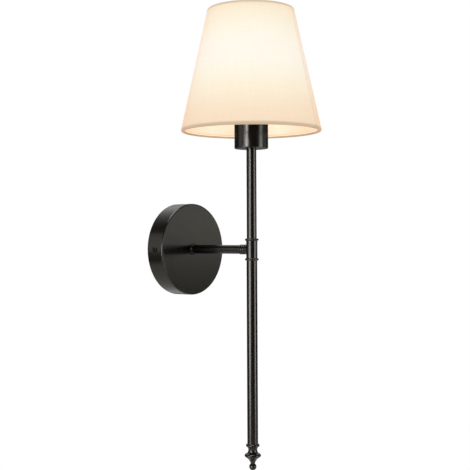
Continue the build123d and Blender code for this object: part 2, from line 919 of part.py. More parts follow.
with BuildPart() as led_chips:
    with BuildSketch(stem_level.offset(head_top)):
        with PolarLocations(led_circle_diameter / 2, led_count):
            Rectangle(led_length, led_width)
    extrude(amount=led_height)
write(led_chips.part, "led_chips")

with BuildPart() as remote_receiver:
    receiver_radius = receiver_diameter / 2
    with BuildSketch(stem_side):
        with BuildLine():
            Polyline(
                (0, head_top + receiver_height + receiver_radius),
                (0, head_top),
                (receiver_radius, head_top),
                (receiver_radius, head_top + receiver_height),
            )
            RadiusArc(
                (receiver_radius, head_top + receiver_height),
                (0, head_top + receiver_height + receiver_radius),
                -receiver_radius,
            )
        make_face()
    revolve(axis=stem_axis)
write(remote_receiver.part, "remote_receiver")

with BuildPart() as diffuser_globe:
    with BuildSketch(stem_side):
        with BuildLine():
            ThreePointArc(
                (head_top_radius, head_top), (globe_radius, globe_centre), (0, globe_centre + globe_radius)
            )
            Line((0, globe_centre + globe_radius), (0, globe_centre + globe_inner_radius))
            ThreePointArc(
                (0, globe_centre + globe_inner_radius),
                (globe_inner_radius, globe_centre),
                (globe_mouth_radius, head_top),
            )
            Line((globe_mouth_radius, head_top), (head_top_radius, head_top))
        make_face()
    revolve(axis=stem_axis)
write(diffuser_globe.part, "diffuser_globe")

# Shade

hem_inner_radius = hem_radius - fabric_thickness
with BuildPart() as shade_fabric:
    top_hem = shade_slant - hem_radius
    with BuildSketch(stem_side):
        with BuildLine():
            Line(on_wall(hem_radius, 0), on_wall(top_hem, 0))
            ThreePointArc(
                on_wall(top_hem, 0), on_wall(shade_slant, hem_radius), on_wall(top_hem, 2 * hem_radius)
            )
            Line(on_wall(top_hem, 2 * hem_radius), on_wall(top_hem, hem_radius + hem_inner_radius))
            ThreePointArc(
                on_wall(top_hem, hem_radius + hem_inner_radius),
                on_wall(shade_slant - fabric_thickness, hem_radius),
                on_wall(top_hem, fabric_thickness),
            )
            Line(on_wall(top_hem, fabric_thickness), on_wall(hem_radius, fabric_thickness))
            ThreePointArc(
                on_wall(hem_radius, fabric_thickness),
                on_wall(fabric_thickness, hem_radius),
                on_wall(hem_radius, hem_radius + hem_inner_radius),
            )
            Line(on_wall(hem_radius, hem_radius + hem_inner_radius), on_wall(hem_radius, 2 * hem_radius))
            ThreePointArc(on_wall(hem_radius, 2 * hem_radius), on_wall(0, hem_radius), on_wall(hem_radius, 0))
        make_face()
    revolve(axis=stem_axis)
write(shade_fabric.part, "shade_fabric")

with BuildPart() as shade_liner:
    liner_start = hem_radius + shade_wire_radius + running_gap
    liner_end = shade_slant - liner_start
    liner_face = fabric_thickness + seat_gap
    with BuildSketch(stem_side):
        with BuildLine():
            Polyline(
                on_wall(liner_start, liner_face),
                on_wall(liner_end, liner_face),
                on_wall(liner_end, liner_face + liner_thickness),
                on_wall(liner_start, liner_face + liner_thickness),
                close=True,
            )
        make_face()
    revolve(axis=stem_axis)
write(shade_liner.part, "shade_liner")


def wire_hoop(along):
    """Round wire hoop inside a hem of the shade."""
    with BuildPart() as made:
        with BuildSketch(stem_side):
            with Locations(on_wall(along, hem_radius)):
                Circle(shade_wire_radius)
        revolve(axis=stem_axis)
    return made.part


write(wire_hoop(shade_slant - hem_radius), "shade_top_hoop")
write(wire_hoop(hem_radius), "shade_bottom_hoop")

fitter_bore = holder_radius + running_gap
write(tube(stem_level, fitter_bottom, fitter_top, fitter_radius, fitter_bore), "fitter_ring")

# A spoke leaves the fitter ring level, bends down beside the shade's wall and ends on the lower hoop.
# The first one points straight out into the room.
spoke_inset = max(hem_radius, liner_face + liner_thickness + spoke_radius + seat_gap)
spoke_level = (fitter_bottom + fitter_top) / 2
spoke_start = (fitter_radius - fitter_overhang / 2, spoke_level)
spoke_end = on_wall(hem_radius + shade_wire_radius + seat_gap, spoke_inset)
wall_lean = shade_taper / shade_height
spoke_knee = (spoke_end[0] - wall_lean * (spoke_level - spoke_end[1]), spoke_level)
with BuildPart() as spoke:
    with BuildLine(arm_side) as spoke_line:
        FilletPolyline(spoke_start, spoke_knee, spoke_end, radius=spoke_bend_radius)
    with BuildSketch(Plane(origin=spoke_line.line @ 0, z_dir=spoke_line.line % 0)):
        Circle(spoke_radius)
    sweep(path=spoke_line.line)
    with BuildSketch(Plane.XY.offset(fitter_bottom - spoke_diameter)):
        Circle(fitter_radius + seat_gap)
    extrude(amount=2 * spoke_diameter + fitter_thickness, mode=Mode.SUBTRACT)

with BuildPart(stem_level) as fitter_spokes:
    with PolarLocations(0, spoke_count):
        add(spoke.part)
write(fitter_spokes.part, "fitter_spokes")
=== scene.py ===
"""Wall lamp with a dark bronze stem, a cream cloth shade and a rechargeable bulb, dressed for rendering."""

from math import cos, hypot, pi, radians, sin

import bmesh
import bpy
import numpy as np
from mathutils import Matrix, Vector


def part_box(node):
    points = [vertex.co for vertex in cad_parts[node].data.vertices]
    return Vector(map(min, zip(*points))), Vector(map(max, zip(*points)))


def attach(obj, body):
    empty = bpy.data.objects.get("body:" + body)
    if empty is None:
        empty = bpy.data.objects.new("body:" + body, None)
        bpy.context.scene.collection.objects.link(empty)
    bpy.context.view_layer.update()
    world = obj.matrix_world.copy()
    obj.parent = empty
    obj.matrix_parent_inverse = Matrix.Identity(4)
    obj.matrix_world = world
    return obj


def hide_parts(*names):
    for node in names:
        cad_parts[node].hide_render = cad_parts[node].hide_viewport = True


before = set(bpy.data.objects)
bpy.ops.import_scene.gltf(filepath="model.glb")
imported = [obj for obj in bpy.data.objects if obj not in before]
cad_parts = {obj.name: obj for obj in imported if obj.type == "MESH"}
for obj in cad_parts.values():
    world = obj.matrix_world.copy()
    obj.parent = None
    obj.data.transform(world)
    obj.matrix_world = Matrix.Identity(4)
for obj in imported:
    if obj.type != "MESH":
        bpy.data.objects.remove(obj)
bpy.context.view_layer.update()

bl_info = {
    "name": "Wall Lamp",
    "version": (1, 0, 0),
    "blender": (4, 5, 0),
    "location": "3D View > Sidebar > Wall Lamp",
    "description": "Dresses a wall lamp with its cloth shade, lacquered metal and bulb",
    "category": "Add Mesh",
}

MM = 0.001
TURN = 2 * pi
MIX_A, MIX_B, MIX_RESULT = 6, 7, 2  # colour sockets of the mix node
CLOUD = {"From Min": 0.3, "From Max": 0.7}  # most of a cloudy pattern lies between these


def middle(node):
    """Centre of a solid in plan, and its half width."""
    low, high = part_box(node)
    return (low.x + high.x) / 2, (low.y + high.y) / 2, (high.x - low.x) / 2


STEM_X, STEM_Y, _ = middle("lower_stem")
SHADE_LOW, SHADE_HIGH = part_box("shade_fabric")
GLOBE_LOW, GLOBE_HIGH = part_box("diffuser_globe")
HOLDER_LOW, HOLDER_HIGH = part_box("lampholder_body")


def linear(code):
    """Linear colour with alpha from an sRGB hex code."""
    parts = [int(code[start : start + 2], 16) / 255 for start in (1, 3, 5)]
    parts = [part / 12.92 if part <= 0.04045 else ((part + 0.055) / 1.055) ** 2.4 for part in parts]
    return (*parts, 1.0)


def colour(label, description, code):
    """Colour setting that starts at an sRGB hex code."""
    return bpy.props.FloatVectorProperty(
        name=label, description=description, subtype="COLOR", size=4, min=0, max=1, default=linear(code)
    )


def length(label, description, millimetres):
    """Length setting in metres that starts at a size in millimetres."""
    return bpy.props.FloatProperty(
        name=label, description=description, default=millimetres * MM, min=0, unit="LENGTH", precision=5
    )


def angle_of(label, description, degrees):
    """Angle setting in radians that starts at an angle in degrees."""
    return bpy.props.FloatProperty(
        name=label, description=description, default=radians(degrees), unit="ROTATION"
    )


def power(label, description, watts):
    """Power setting of a softbox in watts."""
    return bpy.props.FloatProperty(name=label, description=description, default=watts, min=0, unit="POWER")


def amount(label, description, value):
    """Plain number setting, not below zero."""
    return bpy.props.FloatProperty(name=label, description=description, default=value, min=0)


class LampShadeSettings(bpy.types.PropertyGroup):
    """Sizes and colours of the cloth shade."""

    bottom_diameter: length("Bottom diameter", "Across the cloth at the lower rim", 180)
    top_diameter: length("Top diameter", "Across the cloth at the upper rim", 110.3)
    hem_diameter: length("Hem diameter", "Across the roll of cloth round a wire hoop", 4.4)
    hem_wrap: angle_of("Hem wrap", "How far the cloth goes round a hoop", 235)
    cloth_thickness: length("Cloth thickness", "Thickness of the woven cover", 0.45)
    seam_width: length("Seam width", "Overlap of the two ends of the cloth", 6)
    seam_lift: length("Seam lift", "How far the upper end stands off the lower one", 0.62)
    seam_angle: angle_of("Seam angle", "Where the overlap starts round the stem", 280)
    thread_pitch: length("Thread pitch", "Spacing of the threads as drawn", 1.4)
    cloth: colour("Cloth", "Unlit cloth", "#e5dbc6")
    glow_near: colour("Glow nearest the bulb", "Light through the cloth beside the globe", "#8d8f91")
    glow_beside: colour("Glow beside the globe", "Light round the brightest patch of the cloth", "#888981")
    glow_middle: colour("Glow midway", "Light through the cloth near the upper rim", "#887a65")
    glow_far: colour("Glow far from the bulb", "Light through the cloth at the lower rim", "#7d5325")
    # Painted shade: the hems are the same cream cloth, and this darker tan stands in for the shade on the
    # roll, which no light comes through.
    hem: colour("Hem", "Cloth rolled round a hoop", "#c9b69b")
    film_near: colour("Film nearest the bulb", "Light on the inner film beside the globe", "#c2ae9d")
    film_far: colour("Film far from the bulb", "Light on the inner film at a rim", "#a67f69")


class LampMetalSettings(bpy.types.PropertyGroup):
    """Colours of the lacquered metal, and sizes of the welds and of the lampholder's thread."""

    lacquer: colour("Lacquer", "Dark bronze lacquer", "#3b3935")
    lacquer_warm: colour("Warm lacquer", "Lacquer where it is thin", "#3c3a34")
    rubbed: colour("Rubbed edge", "Lacquer worn along edges", "#4f4a44")
    roughness: bpy.props.FloatProperty(
        name="Roughness", description="Gloss of the lacquer", default=0.25, min=0, max=1, subtype="FACTOR"
    )
    bead_size: length("Weld bead", "Width of the weld at each end of a spoke", 3.6)
    skirt_pitch: length("Skirt pitch", "Pitch of the thread on the lampholder", 2.6)
    skirt_depth: length("Skirt depth", "Depth of the thread on the lampholder", 0.5)
    skirt_length: length("Skirt length", "Length of the thread on the lampholder", 16)


class LampBulbSettings(bpy.types.PropertyGroup):
    """Colours and brightness of the bulb."""

    globe: colour("Globe", "Opal globe", "#fbf4e6")
    light: colour("Light", "Light of the globe", "#fff0d6")
    globe_strength: amount("Globe strength", "Brightness of the globe", 0.15)
    chip_strength: amount("Chip strength", "Brightness of the chips under the globe", 1.0)


class LampStageSettings(bpy.types.PropertyGroup):
    """Floor, lights and camera."""

    floor: colour("Floor", "Pale floor", "#f1f1ef")
    floor_drop: length("Floor level", "Floor below the mount", 550)
    floor_radius: length("Floor radius", "Radius of the floor disc", 1300)
    daylight: colour("Daylight", "Slightly cool light of the boxes that shape the stem", "#f1f5ff")
    left_power: power("Left box", "Long leaning softbox on the left", 22)
    cup_power: power("Upper left box", "Small softbox high on the left", 7.4)
    right_power: power("Right box", "Softbox on the right", 13.8)
    side_power: power("Side box", "Broad low softbox far right", 1.35)
    rim_power: power("Rim box", "Softbox far left", 2.4)
    over_power: power("Overhead box", "Softbox straight above the plate", 30)
    fill_power: power("Fill", "Broad light behind the camera, on matt surfaces only", 2)
    ambient: amount("Ambient", "Even light on matt surfaces", 0.9)
    room: amount("Room", "Dim room that metal shows", 0.08)
    ceiling: amount("Ceiling", "Pale ceiling that metal shows behind the lamp", 1.4)
    lens: bpy.props.FloatProperty(
        name="Lens", description="Focal length", default=76.6, min=1, unit="CAMERA"
    )
    shift: bpy.props.FloatProperty(
        name="Shift", description="Rise of the picture in the frame", default=0.0062
    )
    eye: bpy.props.FloatVectorProperty(
        name="Eye",
        description="Place of the camera",
        default=(-1.0001, -0.9218, 0.0149),
        subtype="TRANSLATION",
    )
    aim: bpy.props.FloatVectorProperty(
        name="Aim",
        description="Turn of the camera",
        default=(radians(90), radians(0.273), radians(-50.53)),
        subtype="EULER",
    )


# Surfaces


def grid_piece(name, points, material, round_rows=False, round_columns=False, uv=None, **fields):
    """Mesh piece from a grid of points (rows, columns, 3): one four-sided face to each cell.

    A round direction joins its last line to its first. A UV grid and named fields hold one value for each
    point.
    """
    rows, columns = points.shape[:2]
    row = np.arange(rows if round_rows else rows - 1)[:, None]
    column = np.arange(columns if round_columns else columns - 1)[None, :]
    next_row, next_column = (row + 1) % rows * columns, (column + 1) % columns
    row = row * columns
    corners = np.stack([row + column, row + next_column, next_row + next_column, next_row + column], axis=-1)
    corners = corners.reshape(-1, 4)
    mesh = bpy.data.meshes.new(name)
    mesh.vertices.add(rows * columns)
    mesh.vertices.foreach_set("co", points.astype(np.float32).ravel())
    mesh.loops.add(corners.size)
    mesh.loops.foreach_set("vertex_index", corners.astype(np.int32).ravel())
    mesh.polygons.add(len(corners))
    mesh.polygons.foreach_set("loop_start", np.arange(0, corners.size, 4, dtype=np.int32))
    mesh.update(calc_edges=True)
    if uv is not None:
        layer = mesh.uv_layers.new(name="cloth")
        layer.uv.foreach_set("vector", uv.reshape(-1, 2)[corners.ravel()].astype(np.float32).ravel())
    for field, values in fields.items():
        attribute = mesh.attributes.new(field, "FLOAT", "POINT")
        attribute.data.foreach_set("value", values.astype(np.float32).ravel())
    mesh.polygons.foreach_set("use_smooth", np.ones(len(corners), dtype=bool))
    mesh.materials.append(material)
    piece = bpy.data.objects.new(name, mesh)
    bpy.context.scene.collection.objects.link(piece)
    return piece


def close_mesh(piece, distance):
    """Merge the points of a piece that fall together, as at a pole, and turn its faces outwards."""
    work = bmesh.new()
    work.from_mesh(piece.data)
    bmesh.ops.remove_doubles(work, verts=work.verts, dist=distance)
    bmesh.ops.recalc_face_normals(work, faces=work.faces)
    work.to_mesh(piece.data)
    work.free()


def ease(value, start, end):
    """Smooth step from 0 at start to 1 at end."""
    share = np.clip((value - start) / (end - start), 0, 1)
    return share * share * (3 - 2 * share)


def round_stem(radius, angle, level):
    """Points at a radius and an angle about the stem, at a level."""
    radius, angle, level = np.broadcast_arrays(radius, angle, level)
    return np.stack([STEM_X + radius * np.cos(angle), STEM_Y + radius * np.sin(angle), level], axis=-1)


def seat(piece, body, slot, *nodes):
    """A new piece rides on a body and stands for solids of the frame. The slot is not used."""
    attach(piece, body)
    if nodes:
        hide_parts(*nodes)


# Materials


def add(tree, kind, inputs=(), output=0, **settings):
    """Add one node and give one of its outputs.

    Inputs maps a socket to a value or to another node's output, and settings are the node's own options.
    """
    node = tree.nodes.new("ShaderNode" + kind)
    for option, value in settings.items():
        setattr(node, option, value)
    for socket, value in dict(inputs).items():
        if isinstance(value, bpy.types.NodeSocket):
            tree.links.new(value, node.inputs[socket])
        else:
            node.inputs[socket].default_value = value
    return node.outputs[output] if node.outputs else None


def blank(name):
    """New material and its empty node tree."""
    material = bpy.data.materials.new(name)
    material.use_nodes = True
    material.node_tree.nodes.clear()
    return material, material.node_tree


def finish(tree, sockets):
    """Shader of a material, with a value or a pattern for each socket that differs from the default."""
    add(tree, "OutputMaterial", {"Surface": add(tree, "BsdfPrincipled", sockets)})


def give(material, *nodes):
    """Put a material on solids of the frame."""
    for node in nodes:
        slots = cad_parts[node].data.materials
        slots.clear()
        slots.append(material)


def per_mm(size):
    """Texture scale at which one feature is a size in millimetres."""
    return 1 / (size * MM)


def mottle(tree, size, detail=3.0, stretch=(1, 1, 1)):
    """Cloudy pattern with patches of a size in millimetres.

    It is drawn out along an axis where its stretch is below 1.
    """
    place = add(tree, "Mapping", {"Vector": add(tree, "TexCoord", output="Object"), "Scale": stretch})
    cloud = {"Vector": place, "Scale": per_mm(size), "Detail": detail, "Roughness": 0.55}
    return add(tree, "TexNoise", cloud)


def patches(tree, pattern, low, high, first, second):
    """Two colours: the first where a pattern is at or below low, the second where it is at or above high."""
    share = add(tree, "MapRange", {"Value": pattern, "From Min": low, "From Max": high})
    return add(tree, "Mix", {0: share, MIX_A: first, MIX_B: second}, MIX_RESULT, data_type="RGBA")


def worn_edge(tree, reach):
    """How sharply the surface turns within a reach in millimetres: 0 where flat, 1 along a sharp edge."""
    flat, sharp = 0.985, 0.9  # cosines of the turn
    rounded = add(tree, "Bevel", {"Radius": reach * MM}, samples=4)
    face = add(tree, "NewGeometry", output="Normal")
    along = add(tree, "VectorMath", {0: rounded, 1: face}, "Value", operation="DOT_PRODUCT")
    return add(tree, "MapRange", {"Value": along, "From Min": flat, "From Max": sharp})


def lacquered_steel(metal):
    """Mild steel sprayed with dark bronze lacquer."""
    # The lacquer is satin and nearly black: long soft highlights, a faint warm cloud where the coat is thin,
    # the shallow orange peel of spraying, and edges rubbed a little paler.
    material, tree = blank("dark_bronze_lacquered_steel")
    thin_coat, dull_patch, scuff, edge = 28, 9, 3.5, 0.7  # sizes in millimetres
    # Orange peel is about 0.6 mm across: drawn wider so that it shows.
    peel, peel_depth = 1.5, 0.02
    coat = patches(tree, mottle(tree, thin_coat), 0.38, 0.66, metal.lacquer, metal.lacquer_warm)
    scuffs = add(tree, "MapRange", {"Value": mottle(tree, scuff), "From Min": 0.35, "From Max": 0.7})
    wear = add(tree, "Math", {0: worn_edge(tree, edge), 1: scuffs}, operation="MULTIPLY")
    gloss = {"To Min": metal.roughness - 0.015, "To Max": metal.roughness + 0.02}
    skin = {"Height": mottle(tree, peel, detail=1.0), "Distance": peel_depth * MM, "Strength": 0.08}
    finish(tree, {
        "Metallic": 1.0,
        "Base Color": patches(tree, wear, 0.0, 1.0, coat, metal.rubbed),
        "Roughness": add(tree, "MapRange", {**CLOUD, **gloss, "Value": mottle(tree, dull_patch)}),
        "Normal": add(tree, "Bump", skin),
    })
    return material


def plain_metal(name, dark, pale, roughness, patch, stretch=(1, 1, 1), depth=0.01):
    """Bare or plated metal: two close tones in patches, with the marks of its making a quarter as wide.

    Patch and depth are in millimetres. The real marks are finer: they are drawn wide enough to show.
    """
    material, tree = blank(name)
    tone = mottle(tree, patch, detail=4.0, stretch=stretch)
    marks = mottle(tree, patch / 4, detail=2.0, stretch=stretch)
    gloss = {"Value": tone, "To Min": roughness * 0.85, "To Max": roughness * 1.2}
    finish(tree, {
        "Metallic": 1.0,
        "Base Color": patches(tree, tone, *CLOUD.values(), linear(dark), linear(pale)),
        "Roughness": add(tree, "MapRange", {**CLOUD, **gloss}),
        "Normal": add(tree, "Bump", {"Height": marks, "Distance": depth * MM, "Strength": 0.4}),
    })
    return material


def plain_plastic(name, dark, pale, roughness, ior, grain, depth):
    """Moulded plastic, rubber or coat: a close pair of tones and the fine grain of its mould.

    Grain and depth are in millimetres. The real grain is finer: it is drawn wide enough to show.
    """
    material, tree = blank(name)
    flow_width = 14
    flow = mottle(tree, flow_width)
    gloss = {"Value": flow, "To Min": roughness * 0.9, "To Max": roughness * 1.12}
    skin = {"Height": mottle(tree, grain, detail=2.0), "Distance": depth * MM, "Strength": 0.5}
    finish(tree, {
        "IOR": ior,
        "Base Color": patches(tree, flow, 0.35, 0.68, linear(dark), linear(pale)),
        "Roughness": add(tree, "MapRange", {**CLOUD, **gloss}),
        "Normal": add(tree, "Bump", skin),
    })
    return material


def bulb_glow(tree, *stops):
    """Colour of the bulb's light on the shade, through (light, colour) stops.

    The light falls with the square of the distance from a point in the globe and with the slant of the wall,
    and is 1 on an upright wall level with that point.
    """
    source_height = 0.2  # share of the globe's height
    nearest_wall = 72 * MM
    globe = (STEM_X, STEM_Y, GLOBE_LOW.z + (GLOBE_HIGH.z - GLOBE_LOW.z) * source_height)
    place = add(tree, "TexCoord", output="Object")
    ray = add(tree, "VectorMath", {0: place, 1: globe}, operation="SUBTRACT")
    square = add(tree, "VectorMath", {0: ray, 1: ray}, "Value", operation="DOT_PRODUCT")
    cube = add(tree, "Math", {0: square, 1: 1.5}, operation="POWER")
    face = add(tree, "TexCoord", output="Normal")
    through = add(tree, "VectorMath", {0: ray, 1: face}, "Value", operation="DOT_PRODUCT")
    through = add(tree, "Math", {0: through}, operation="ABSOLUTE")
    light = add(tree, "Math", {0: through, 1: cube}, operation="DIVIDE")
    light = add(tree, "Math", {0: light, 1: nearest_wall**2}, operation="MULTIPLY")
    tint = add(tree, "ValToRGB", {0: light})
    band = tint.node.color_ramp.elements
    for stop, shown in stops[1:-1]:
        band.new(stop).color = shown
    for end in (0, -1):
        band[end].position, band[end].color = stops[end]
    return tint


def woven_cloth(shade):
    """Plain-woven cotton and linen, backed with film."""
    # Matt cream cloth that light comes through: brightest beside the globe, warmer towards the rims, dark
    # where it is double at the seam or rolled round a hoop, with a faint weave and the slubs of uneven yarn.
    # Its short nap is warm where the cloth turns away at the outline.
    material, tree = blank("cream_woven_cloth")
    uv = add(tree, "UVMap", uv_map="cloth")
    # Threads are about 0.6 mm apart: drawn wider so that they show.
    wave_turn = 20  # radians that the wave node turns in one unit
    pitch = TURN / wave_turn / shade.thread_pitch
    threads = {"Vector": uv, "Scale": pitch, "Distortion": 0.6, "Detail Scale": 0.4}
    warp, weft = (add(tree, "TexWave", threads, "Fac", bands_direction=way) for way in "XY")
    weave = add(tree, "Math", {0: warp, 1: weft}, operation="MULTIPLY")
    # A slub is a thick place in a yarn, twenty times as long as it is wide.
    slub_width, slub_shape = 1.8, 0.05
    yarns = []
    for stretch in ((1, slub_shape, 1), (slub_shape, 1, 1)):
        run = add(tree, "Mapping", {"Vector": uv, "Scale": stretch})
        yarns.append(add(tree, "TexNoise", {"Vector": run, "Scale": per_mm(slub_width), "Detail": 2.0}))
    slub = add(tree, "Math", dict(enumerate(yarns)), operation="ADD")
    fields = ("hem", "double", "inside")
    hem, double, inside = (add(tree, "Attribute", output="Fac", attribute_name=name) for name in fields)
    # How much light each layer lets through.
    layers = [
        {"Value": slub, "From Min": 0.7, "From Max": 1.3, "To Min": 0.965, "To Max": 1.03},
        {"Value": weave, "To Min": 1.02, "To Max": 0.97},
        {"Value": hem, "To Min": 1.0, "To Max": 0.3},
        {"Value": double, "To Min": 1.0, "To Max": 0.76},
    ]
    passed = 1.0
    for layer in layers:
        passed = add(tree, "Math", {0: passed, 1: add(tree, "MapRange", layer)}, operation="MULTIPLY")
    dim = (0.27, shade.glow_far), (0.55, shade.glow_middle)
    bright = (0.8, shade.glow_beside), (1.0, shade.glow_near)
    lit = add(tree, "VectorMath", {0: bulb_glow(tree, *dim, *bright), "Scale": passed}, operation="SCALE")
    thin_yarn = tuple(part * 0.97 for part in shade.cloth[:3]) + (1.0,)
    dyed = patches(tree, slub, 0.75, 1.25, thin_yarn, shade.cloth)
    # On the hems the colour turns to the darker hem colour: painted shade on the same cloth.
    rolled = patches(tree, hem, 0.0, 1.0, dyed, shade.hem)
    finish(tree, {
        "IOR": 1.5,
        "Roughness": 0.9,
        "Sheen Weight": 0.6,
        "Sheen Roughness": 0.45,
        "Sheen Tint": linear("#ffc59b"),
        # On the side of a hem that faces the bulb, the plain cloth colour comes back and the film's glow is
        # painted on as the bulb's light.
        "Base Color": patches(tree, inside, 0.0, 1.0, rolled, shade.cloth),
        "Emission Strength": 1.0,
        "Emission Color": patches(tree, inside, 0.0, 1.0, lit, shade.film_near),
        "Normal": add(tree, "Bump", {"Height": weave, "Distance": 0.12 * MM, "Strength": 0.3}),
    })
    return material


def shade_film(shade):
    """Calendered styrene film that stiffens the cloth."""
    # Thin, smooth and milky: it takes the bulb's light on its inner face and passes it on.
    material, tree = blank("white_styrene_film")
    streak_width = 6
    streak = mottle(tree, streak_width, detail=2.0, stretch=(1, 1, 0.15))
    finish(tree, {
        "IOR": 1.59,
        "Base Color": linear("#efe6d4"),
        "Emission Strength": 1.0,
        "Emission Color": bulb_glow(tree, (0.15, shade.film_far), (0.8, shade.film_near)),
        "Roughness": add(tree, "MapRange", {**CLOUD, "Value": streak, "To Min": 0.42, "To Max": 0.55}),
        "Normal": add(tree, "Bump", {"Height": streak, "Distance": 0.02 * MM, "Strength": 0.3}),
    })
    return material


def opal_globe(bulb):
    """Blow-moulded opal polycarbonate."""
    # An even, milky glow with a soft gloss on top, and a slightly dimmer band at the neck.
    material, tree = blank("opal_polycarbonate")
    neck_height = 12 * MM
    milk_patch, dull_patch, pebble = 16, 4, 1.2  # sizes in millimetres
    level = add(tree, "SeparateXYZ", {0: add(tree, "TexCoord", output="Object")}, "Z")
    thick = {"From Min": GLOBE_LOW.z, "From Max": GLOBE_LOW.z + neck_height, "To Min": 0.72}
    neck = add(tree, "MapRange", {"Value": level, **thick})
    tone = {"Value": mottle(tree, milk_patch), "To Min": 0.97, "To Max": 1.02}
    milk = add(tree, "MapRange", {**CLOUD, **tone})
    even = add(tree, "Math", {0: neck, 1: milk}, operation="MULTIPLY")
    gloss = {"Value": mottle(tree, dull_patch), "To Min": 0.3, "To Max": 0.38}
    skin = {"Height": mottle(tree, pebble, detail=1.0), "Distance": 0.01 * MM, "Strength": 0.3}
    finish(tree, {
        "IOR": 1.58,
        "Coat Weight": 0.2,
        "Coat Roughness": 0.2,
        "Base Color": patches(tree, milk, 0.0, 1.0, linear("#f2eadb"), bulb.globe),
        "Emission Strength": bulb.globe_strength,
        "Emission Color": add(tree, "VectorMath", {0: bulb.light[:3], "Scale": even}, operation="SCALE"),
        "Roughness": add(tree, "MapRange", {**CLOUD, **gloss}),
        "Normal": add(tree, "Bump", skin),
    })
    return material


def lit_phosphor(bulb):
    """Phosphor-filled silicone over the chips."""
    # Yellow and grainy, the brightest thing inside the globe. The real grain is too fine to see: it is drawn
    # wide enough to show.
    material, tree = blank("phosphor_silicone")
    grain_width = 0.6
    grain = mottle(tree, grain_width)
    finish(tree, {
        "IOR": 1.41,
        "Roughness": 0.45,
        "Base Color": patches(tree, grain, 0.35, 0.65, linear("#e8c53a"), linear("#f5dc6a")),
        "Emission Strength": bulb.chip_strength,
        "Emission Color": patches(tree, grain, 0.35, 0.65, linear("#ffe2a0"), bulb.light),
    })
    return material


# Pieces


def line_of_sight(stage):
    """Level direction from the camera's place to the stem, of length 1."""
    x, y = STEM_X - stage.eye[0], STEM_Y - stage.eye[1]
    return x / hypot(x, y), y / hypot(x, y), 0.0


def ray_kinds(tree):
    """Whether a ray comes straight from the camera, and whether it comes off a gloss or through glass."""
    path = add(tree, "LightPath").node.outputs
    mirrored = {0: path["Is Glossy Ray"], 1: path["Is Transmission Ray"]}
    return path["Is Camera Ray"], add(tree, "Math", mirrored, operation="MAXIMUM")


